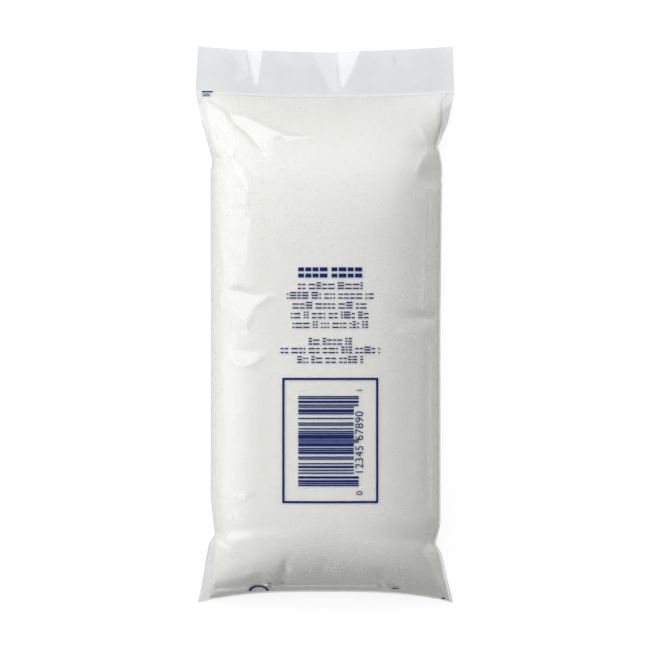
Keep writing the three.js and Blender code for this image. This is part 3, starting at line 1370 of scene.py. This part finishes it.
    def under_print(self) -> bpy.types.Object:
        """Plain fields of colour on the underside: two bands, a ring and rows of short bars."""
        flat = FlatPrint(step=3.0)
        for low, high in ((62.0, 76.0), (56.0, 59.0), (-84.0, -74.0)):
            flat.bar(-self.under_half, self.under_half, low, high)
        radius = 27.0
        flat.arch((0.0, 18.0), radius, radius, inner=0.78, sweep=(0.0, math.tau), steps=64)
        bar_height, pitch = 4.0, 9.0
        for row, half in enumerate((24.0, 20.0, 16.0, 12.0)):
            high = -26.0 - pitch * row
            flat.bar(-half, half, high - bar_height, high)
        return self.lay("under_print", flat, Side.LOWER)

    def build(self) -> None:
        """Prints every piece."""
        self.stripe_frame()
        self.stripes()
        self.figures()
        self.dash_rows()
        self.seal_mark()
        self.end_marks()
        self.under_print()


# Studio


@dataclass(frozen=True)
class Softbox:
    """A rectangular light that faces the bag.

    tilt is its angle off the vertical, and heading its direction in plan, counted from +X towards +Y.
    """

    name: str
    tilt: float
    heading: float
    distance: float
    width: float
    length: float
    radiance: float

    def build(self) -> None:
        """Adds the light."""
        light = bpy.data.lights.new(self.name, "AREA")
        light.shape = "RECTANGLE"
        light.size = self.width * MM
        light.size_y = self.length * MM
        light.energy = self.radiance * math.pi * light.size * light.size_y
        holder = add_object(self.name, light)
        holder.visible_camera = False
        tilt, heading, reach = math.radians(self.tilt), math.radians(self.heading), self.distance * MM
        across, along = math.sin(tilt) * math.cos(heading), math.sin(tilt) * math.sin(heading)
        holder.location = (across * reach, along * reach, math.cos(tilt) * reach)
        holder.rotation_euler = (0.0, tilt, heading)


@dataclass
class Studio:
    """A white floor, five softboxes, dim light all round, and a camera that looks straight down.

    floor_glow is the floor's own light as it is seen, and floor_bounce the weaker light that it throws on the
    bag. view_width is measured at outline_height, the height of the bag's outline.
    """

    camera_height: float = 1500.0
    view_width: float = 292.5
    outline_height: float = 12.0
    floor_size: float = 6000.0
    floor_glow: float = 0.78
    floor_bounce: float = 0.36
    floor_colour: Colour = (0.32, 0.32, 0.32, 1.0)
    sky_strength: float = 0.23
    softboxes: tuple[Softbox, ...] = (
        Softbox("ceiling", 21.0, 84.0, 2300.0, 2600.0, 2600.0, radiance=1.1),
        Softbox("overhead", 40.0, 70.0, 2300.0, 1150.0, 2100.0, radiance=0.85),
        Softbox("left_key", 56.0, 156.0, 1500.0, 900.0, 2000.0, radiance=2.0),
        Softbox("top_fill", 62.0, 68.0, 1500.0, 700.0, 1000.0, radiance=1.05),
        Softbox("left_fill", 80.0, 184.0, 1500.0, 700.0, 1800.0, radiance=1.55),
    )

    def floor(self) -> None:
        """The plain floor."""
        mesh = bmesh.new()
        bmesh.ops.create_grid(mesh, x_segments=1, y_segments=1, size=self.floor_size / 2.0 * MM)
        floor = to_object("floor", mesh, rounded=False)
        material, sheet = new_material("white floor")
        matt = sheet.node("ShaderNodeBsdfDiffuse", None, {"Color": self.floor_colour})
        seen = sheet.value("ShaderNodeLightPath", "Is Camera Ray")
        glow = sheet.node("ShaderNodeEmission", None, {
            "Color": WHITE, "Strength": lerp(self.floor_bounce, self.floor_glow, seen)})
        sheet.surface(sheet.node("ShaderNodeAddShader", None, {0: matt, 1: glow}))
        floor.data.materials.append(material)

    def surroundings(self) -> None:
        """Dim light from all round."""
        world = bpy.data.worlds.new("dim room")
        world.use_nodes = True
        sheet = Sheet(world.node_tree)
        glow = sheet.node("ShaderNodeBackground", None, {"Color": WHITE, "Strength": self.sky_strength})
        sheet.node("ShaderNodeOutputWorld", None, {"Surface": glow})
        bpy.context.scene.world = world

    def camera(self) -> None:
        """Looks straight down, with the header band at the top of the picture."""
        lens = bpy.data.cameras.new("camera")
        lens.sensor_width = 36.0
        lens.lens = lens.sensor_width * (self.camera_height - self.outline_height) / self.view_width
        holder = add_object("camera", lens)
        holder.location = (0.0, 0.0, self.camera_height * MM)
        bpy.context.scene.camera = holder

    def build(self) -> None:
        """Sets up the whole studio."""
        bpy.context.scene.view_settings.view_transform = "Standard"
        self.floor()
        self.surroundings()
        for softbox in self.softboxes:
            softbox.build()
        self.camera()


# The folds and the smooth places of this bag


def film_folds() -> tuple[Fold, ...]:
    """Folds of the upper film, from the corners of the seals inwards."""
    upper_left = (
        Fold(((-28.6, 82.6), (-25.4, 84.4)), 1.4, 1.6, -0.9, profile=Profile.ROLL),
        Fold(((-19, 84.5), (-5.6, 84.2)), 2.0, 2.0, 0.5, 1.0, 0.3),
        Fold(((-41.2, 75), (-36.7, 69.8), (-33.4, 60.8)), 1.8, 3.5, 1.1, 0.6, 0.7),
        Fold(((-50.6, 75.6), (-44, 71.5), (-39, 66)), 2.6, 2.6, -1.0, 1.0, 0.4),
    )
    left = (
        Fold(((-46, -10.4), (-43, 3), (-46.5, 12)), 2.0, 2.0, 0.4),
        Fold(((-47, 40), (-45, 22), (-47, 8)), 2.4, 2.0, 0.45, 0.6, 1.0),
        Fold(((-46, -20), (-44, -50), (-46.5, -76)), 2.4, 2.4, 0.35, 0.5, 1.0, Profile.ROLL),
    )
    right = (
        Fold(((45.4, 62), (45.3, 6)), 7.0, 4.0, 1.0, 0.2, 1.0, Profile.ROLL),
        Fold(((47.4, 60), (46.8, 48), (47.3, 30), (46.9, 9)), 1.0, 2.0, -0.8, 0.7, 0.9),
        Fold(((40.2, 63.2), (45.4, 61.6), (38.4, 58.6)), 1.4, 2.4, -0.7, 0.4, 0.6),
        Fold(((34.3, 4.3), (38.2, 2.5), (42.9, 2.2), (47.8, 3.2)), 6.5, 2.8, -2.1, 0.4, 1.0),
        Fold(((34.8, -3.6), (40.2, -5.9), (45.6, -12.2)), 3.0, 2.0, 0.9),
        Fold(((46.2, -6), (46.6, -20), (46.3, -40), (46.8, -79)), 1.7, 2.6, -1.1, 0.8, 1.0),
        Fold(((42.5, -14), (41.8, -40), (42.3, -78)), 2.4, 4.5, 0.6, 0.6, 1.0),
        Fold(((36.2, -87), (42.4, -97), (48.6, -108.6), (54, -122)), 3.4, 5.0, 1.7, 0.3, 0.8),
        Fold(((48.6, -90), (45.2, -100.6)), 3.6, 3.0, -1.4, profile=Profile.ROLL),
        Fold(((42, 92), (45.5, 84), (47.4, 80.6)), 2.0, 3.0, 0.8, 0.4, 1.0),
    )
    bottom = (
        Fold(((-17.0, -102.0), (-18.2, -109), (-20.4, -115.6)), 4.6, 3.4, -2.5, 0.3, 1.0, Profile.ROLL),
        Fold(((-28.0, -109.6), (-25.6, -112.6), (-21.6, -116.6)), 1.4, 1.6, 1.3, 0.4, 1.0),
        Fold(((-28.2, -109.6), (-29.6, -118.5)), 5.4, 4.6, -2.4, 0.2, 1.1, Profile.ROLL),
        Fold(((-33, -110.6), (-40, -117)), 2.2, 2.2, 0.9, 1.0, 0.4),
        Fold(((-24, -117.0), (0, -116.8), (21, -117.0)), 6.5, 1.6, -3.6, profile=Profile.ROLL),
        Fold(((-49, -119.4), (-40, -118.4), (-32, -116.6)), 6.0, 2.4, -2.2, 0.6, 1.0, Profile.ROLL),
        Fold(((24.4, -108.6), (25.4, -118.5)), 2.6, 2.6, -2.2, 0.3, 1.0, Profile.ROLL),
        Fold(((22.3, -110.2), (31.5, -118.5)), 3.4, 2.0, -1.6, 0.5, 1.0),
        Fold(((30, -118.2), (50, -121.8)), 4.6, 1.8, -2.4, profile=Profile.ROLL),
        Fold(((0.4, -104.5), (-2.2, -111)), 1.8, 2.4, -0.8, 0.4, 1.0),
        Fold(((-49.2, -93.6), (-43, -99.4)), 2.4, 2.4, -1.6, 1.0, 0.4, Profile.ROLL),
    )
    return upper_left + left + right + bottom


def film_facets() -> tuple[Facet, ...]:
    """Panes of the film that are stretched flat: bright ones turned to the light, and dents turned away."""
    kite = Patch(((-56.3, 103), (-45.2, 96.2), (-42.2, 91.4), (-39, 80.1), (-41.3, 74.3), (-46.2, 82.4),
                  (-51.2, 91.4)))
    swoosh = Patch(((-43.5, 95.4), (-35.9, 94.5), (-28.7, 90.9), (-19.3, 86.9), (-19.3, 84.2), (-23.3, 82.4),
                    (-24.6, 73.8), (-30.8, 79.7), (-35.9, 86), (-41.7, 90.5)))
    trapezoid = Patch(((-45.4, 62), (-35.5, 59.5), (-33.6, 53.7), (-42.2, 53.2)), edge=0.7)
    triangle = Patch(((-44, 15.8), (-38.1, 16.2), (-32, 13.9), (-21.9, 13.6), (-27.3, 9.2), (-30.8, 7.3),
                      (-34.3, -0.9), (-38.1, 4.1)), edge=0.7)
    half_moon = Patch(((-43.2, -11.3), (-35.1, -11.3), (-26.2, -12.5), (-29.6, -17.6), (-35.9, -19.1),
                       (-39.7, -17.6)), edge=0.7)
    small = Patch(((-40.9, -75.3), (-32, -74.9), (-35.9, -78)), edge=0.6)
    large_dent = Patch(((45.6, 77.9), (51.9, 78.8), (53.2, 63.0), (46.0, 63.5), (42.6, 65.7), (41.1, 68.4),
                        (42.4, 72.9)), edge=1.0)
    return (
        Facet(kite, (0.42, -0.24), 0.1),
        Facet(swoosh, (0.30, -0.36), 0.1),
        Facet(trapezoid, (0.47, -0.12), 0.1),
        Facet(triangle, (0.42, -0.12), -0.2),
        Facet(half_moon, (0.42, -0.12), 0.0),
        Facet(small, (0.43, -0.1), 0.1),
        Facet(large_dent, (-1.12, 0.05), -1.9, clear=False),
    )


def clear_patches() -> tuple[Patch, ...]:
    """Outlines of the places where the film stands clear of the sugar and shines, besides the panes."""
    return (
        Patch(((-18.5, 87), (-15.3, 85.2), (-5.6, 84.3), (-15.3, 82.4), (-18.2, 81.8))),
        Patch(((-40.9, 74.3), (-37.7, 72), (-33.4, 61.3), (-35.4, 59.9), (-40.4, 69.1))),
        Patch(((-41.5, 52.8), (-35.6, 52.0), (-35.4, 48.2), (-32.2, 47.6), (-31.6, 45.0), (-34.2, 41.2),
               (-34.8, 33.8), (-35.9, 27.2), (-38.6, 26.8), (-39.2, 34.4), (-42.4, 35.6)), edge=0.8),
        Patch(((-42.8, 25.6), (-38.6, 25.2), (-39.4, 21.6), (-41.2, 19.4), (-42.8, 20.8)), edge=0.7),
        Patch(((-37.9, -3.0), (-34.6, -2.4), (-33.9, -3.6), (-36.8, -4.6)), edge=0.4),
        Patch(((-43.6, -84.6), (-38.1, -83), (-40.5, -88.5)), edge=1.0),
    )


def painted_highlight_wedges() -> tuple[Patch, ...]:
    """Outlines of the two panes of the header band that are pulled flat and turned to the light. The film is
    made less milky inside them so that the bright floor shows through: a painted highlight.
    """
    return (
        Patch(((-35.8, 128), (-27.4, 128), (-30.0, 112), (-30.9, 106)), edge=0.3),
        Patch(((4.8, 128), (17.4, 128), (11.4, 112), (7.4, 104.4)), edge=0.3),
    )


def main() -> None:
    """Builds the bag and its studio."""
    logging.basicConfig(level=logging.INFO, format="%(name)s: %(message)s")
    low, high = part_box(NODE)
    length, width, thickness = ((high[axis] - low[axis]) / MM for axis in (1, 0, 2))
    form = BagForm(length, width, thickness, folds=film_folds(), facets=film_facets(),
                   patches=clear_patches(), wedge_highlight_thinning=painted_highlight_wedges())
    film_material = ClearFilm().material()
    packed = SugarFinish("packed sugar", pale=(0.965, 0.957, 0.912, 1.0), shade=(0.925, 0.916, 0.866, 1.0),
                         roughness=0.75)
    loose = SugarFinish("sugar crystals", pale=(0.985, 0.978, 0.95, 1.0), shade=(0.955, 0.948, 0.915, 1.0),
                        roughness=0.5)
    ink = InkFinish("blue ink", deep=(0.001, 0.014, 0.125, 1.0), thin=(0.002, 0.026, 0.185, 1.0))
    packed_material, loose_material, ink_material = packed.material(), loose.material(), ink.material()
    core = SugarFill(form).build(packed_material)
    CrystalScatter().build(core, loose_material)
    film = FilmTube(form, HeaderBand(form)).build(film_material)
    BottomFin(form).build(film_material)
    PrintedFilm(film, ink_material).build()
    Studio().build()


if __name__ == "__main__":
    main()
